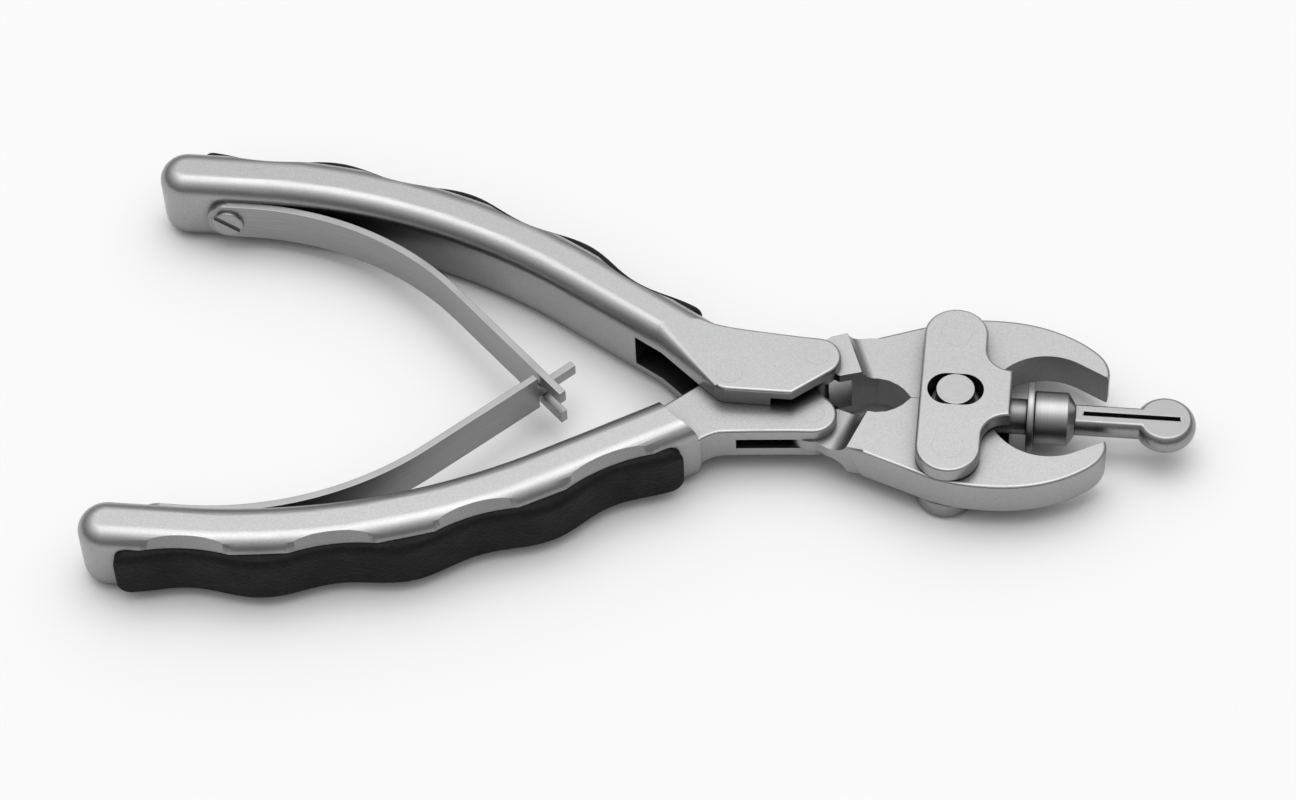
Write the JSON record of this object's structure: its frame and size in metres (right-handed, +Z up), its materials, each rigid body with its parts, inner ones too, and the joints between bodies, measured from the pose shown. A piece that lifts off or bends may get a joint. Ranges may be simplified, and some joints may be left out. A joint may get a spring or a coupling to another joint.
{
  "type": "crimping pliers",
  "caption": "Sprung hand pliers with curved gripped handles whose toggle closes two hooked jaws round a split, ball-nosed mandrel floating in slotted link plates.",
  "frame": {"origin": "on the surface that the pliers lie on, under the middle of their overall length", "axes": "+X along the pliers towards the mandrel's nose, +Y across the handles towards the upper handle, +Z up"},
  "size_m": [0.1661, 0.0824, 0.013],
  "materials": {
    "satin_steel": "fine bead-blasted satin",
    "turned_steel": "turned and lightly polished",
    "spring_steel": "satin",
    "pin_steel": "ground flush, satin",
    "black_rubber": "matt, finely grained"
  },
  "bodies": {
    "lower_handle": {"lower_handle": "satin_steel", "lower_grip": "black_rubber", "lower_leaf_spring": "spring_steel", "lower_spring_screw": "pin_steel", "lower_toggle_pin": "pin_steel"},
    "upper_handle": {"upper_handle": "satin_steel", "upper_grip": "black_rubber", "upper_leaf_spring": "spring_steel", "upper_spring_screw": "pin_steel", "upper_toggle_pin": "pin_steel", "main_pivot_pin": "pin_steel"},
    "lower_jaw": {"lower_jaw": "satin_steel"},
    "upper_jaw": {"upper_jaw": "satin_steel"},
    "link_plates": {"top_link_plate": "satin_steel", "bottom_link_plate": "satin_steel", "lower_jaw_pin": "pin_steel", "upper_jaw_pin": "pin_steel"},
    "mandrel": {"centre_pin": "pin_steel", "mandrel_holder": "turned_steel", "stop_flange": "turned_steel", "mandrel_collar": "turned_steel", "mandrel": "turned_steel"}
  },
  "joints": [
    {"name": "main_pivot", "type": "hinge", "parent": "lower_handle", "child": "upper_handle", "pos_m": [0.01186, 0, 0.0065], "axis": [0, 0, 1], "range_deg": [0, 27], "stiffness_Nm_per_rad": 1, "springref_deg": -5.73, "deforming": ["upper_leaf_spring", "lower_leaf_spring"]},
    {"name": "lower_toggle", "type": "hinge", "parent": "lower_handle", "child": "lower_jaw", "pos_m": [0.02496, -0.00425, 0.0065], "axis": [0, 0, 1], "range_deg": [0, 21.6]},
    {"name": "upper_toggle", "type": "hinge", "parent": "upper_handle", "child": "upper_jaw", "pos_m": [0.02496, 0.00425, 0.0065], "axis": [0, 0, 1], "range_deg": [-21.6, 0]},
    {"name": "link_swing", "type": "hinge", "parent": "lower_jaw", "child": "link_plates", "pos_m": [0.04586, -0.01095, 0.0065], "axis": [0, 0, 1], "range_deg": [-8, 0]},
    {"name": "mandrel_float", "type": "slide", "parent": "link_plates", "child": "mandrel", "axis": [1, 0, 0], "range_m": [-0.00125, 0.00125]}
  ],
  "couplings": [
    {"joint": "lower_toggle", "follows": "main_pivot", "ratio": 0.7928},
    {"joint": "upper_toggle", "follows": "main_pivot", "ratio": -0.7928},
    {"joint": "link_swing", "follows": "main_pivot", "ratio": -0.2928}
  ]
}
